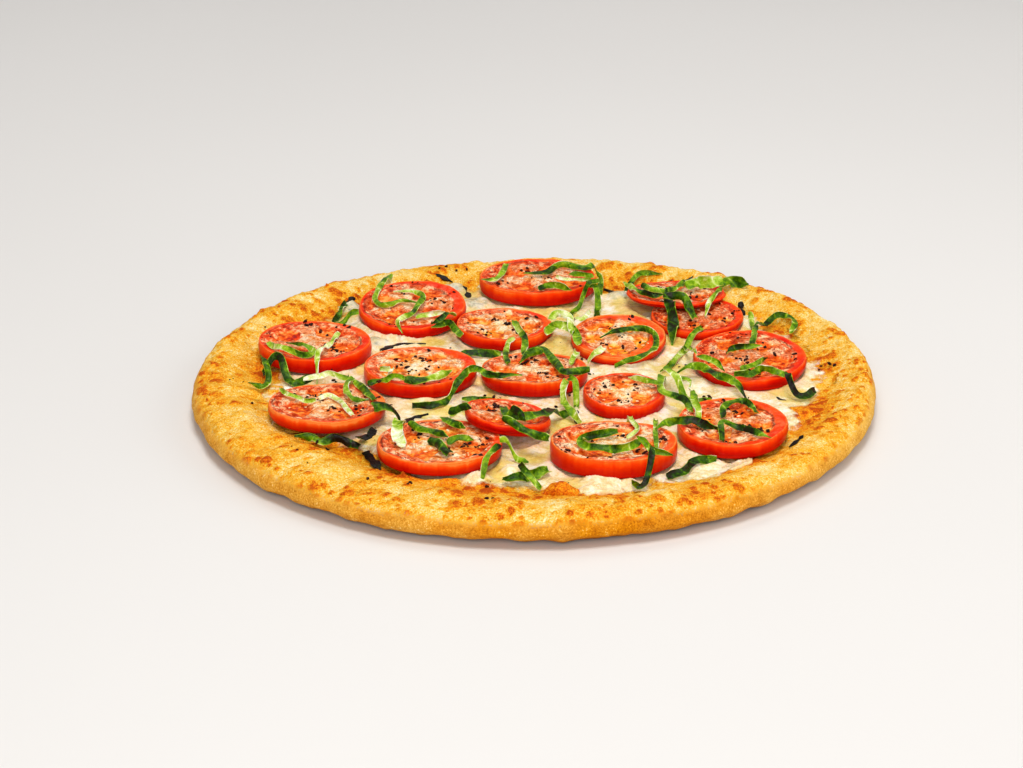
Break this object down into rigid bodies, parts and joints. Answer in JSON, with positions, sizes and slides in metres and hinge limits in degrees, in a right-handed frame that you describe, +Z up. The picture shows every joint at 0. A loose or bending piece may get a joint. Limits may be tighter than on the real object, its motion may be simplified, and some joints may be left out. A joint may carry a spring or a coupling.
{
  "type": "margherita pizza",
  "caption": "Whole round pizza with a low baked rim, melted mozzarella, round tomato slices and shreds of fresh basil.",
  "frame": {"origin": "middle of the box of the whole pizza, on the flat underside", "axes": "+Z up, -Y towards the side that the picture is taken from, +X to its right"},
  "size_m": [0.2546, 0.2474, 0.0194],
  "materials": {
    "crust": "baked dough, golden with browned spots, rough",
    "cheese": "melted mozzarella, glossy, with cracked black pepper",
    "tomato": "wet tomato flesh and skin, with cracked black pepper",
    "basil": "fresh leaf, satin"
  },
  "bodies": {
    "root": {"crust": "crust", "cheese": "cheese", "tomato_01": "tomato", "tomato_02": "tomato", "tomato_03": "tomato", "tomato_04": "tomato", "tomato_05": "tomato", "tomato_06": "tomato", "tomato_07": "tomato", "tomato_08": "tomato", "tomato_09": "tomato", "tomato_10": "tomato", "tomato_11": "tomato", "tomato_12": "tomato", "tomato_13": "tomato", "tomato_14": "tomato", "tomato_15": "tomato", "tomato_16": "tomato", "basil_01": "basil", "basil_02": "basil", "basil_03": "basil", "basil_04": "basil", "basil_05": "basil", "basil_06": "basil", "basil_07": "basil", "basil_08": "basil", "basil_09": "basil", "basil_10": "basil", "basil_11": "basil", "basil_12": "basil", "basil_13": "basil", "basil_14": "basil", "basil_15": "basil", "basil_16": "basil", "basil_17": "basil", "basil_18": "basil", "basil_19": "basil", "basil_20": "basil", "basil_21": "basil", "basil_22": "basil", "basil_23": "basil", "basil_24": "basil", "basil_25": "basil", "basil_26": "basil", "basil_27": "basil", "basil_28": "basil", "basil_29": "basil", "basil_30": "basil", "basil_31": "basil", "basil_32": "basil", "basil_33": "basil", "basil_34": "basil", "basil_35": "basil", "basil_36": "basil", "basil_37": "basil", "basil_38": "basil", "basil_39": "basil", "basil_40": "basil", "basil_41": "basil", "basil_42": "basil"}
  },
  "joints": []
}
